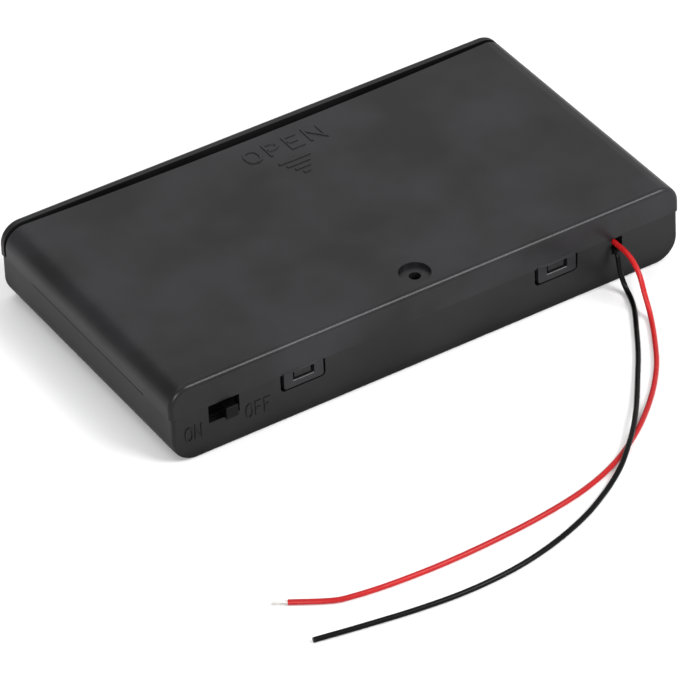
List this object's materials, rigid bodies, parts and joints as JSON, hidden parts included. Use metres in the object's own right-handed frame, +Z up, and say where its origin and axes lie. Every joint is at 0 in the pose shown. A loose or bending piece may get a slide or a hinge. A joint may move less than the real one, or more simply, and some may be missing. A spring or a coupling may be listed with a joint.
{
  "type": "cylindrical cell holder",
  "caption": "Flat closed case for a row of round cells, with a sliding cover, a slide switch in the front wall and two loose leads.",
  "frame": {"origin": "centre of the case's flat base", "axes": "+X along the row of cells, from the switch end to the lead end; the front wall with switch and leads faces -Y; +Z up out of the cover"},
  "size_m": [0.1366, 0.1416, 0.0196],
  "materials": {
    "case_plastic": "fine moulded grain, semi-matt black",
    "cover_plastic": "fine moulded grain, semi-matt black",
    "switch_plastic": "plain black",
    "terminal_board": "brown laminate",
    "knob_plastic": "plain black",
    "contact_brass": "bright",
    "pin_metal": "tinned",
    "plated_steel": "nickel plated, bright",
    "spring_steel": "nickel plated wire",
    "red_insulation": "smooth soft plastic",
    "black_insulation": "smooth soft plastic",
    "tinned_copper": "tinned strands"
  },
  "bodies": {
    "case": {"lower_case": "case_plastic", "switch_housing": "switch_plastic", "switch_base": "terminal_board", "switch_pin_1": "pin_metal", "switch_pin_2": "pin_metal", "switch_pin_3": "pin_metal", "positive_terminal": "plated_steel", "negative_terminal": "plated_steel", "front_bridge_1": "plated_steel", "front_bridge_2": "plated_steel", "front_bridge_3": "plated_steel", "back_bridge_1": "plated_steel", "back_bridge_2": "plated_steel", "back_bridge_3": "plated_steel", "back_bridge_4": "plated_steel", "cell_spring_1": "spring_steel", "cell_spring_2": "spring_steel", "cell_spring_3": "spring_steel", "cell_spring_4": "spring_steel", "cell_spring_5": "spring_steel", "cell_spring_6": "spring_steel", "cell_spring_7": "spring_steel", "cell_spring_8": "spring_steel", "red_lead": "red_insulation", "red_lead_inside": "red_insulation", "red_lead_conductor": "tinned_copper", "black_lead": "black_insulation", "black_lead_inside": "black_insulation"},
    "cover": {"sliding_cover": "cover_plastic"},
    "knob": {"switch_knob": "knob_plastic", "switch_contact": "contact_brass"}
  },
  "joints": [
    {"name": "cover_slide", "type": "slide", "parent": "case", "child": "cover", "axis": [0, -1, 0], "range_m": [0, 0.07]},
    {"name": "knob_slide", "type": "slide", "parent": "case", "child": "knob", "axis": [-1, 0, 0], "range_m": [0, 0.0023]}
  ]
}
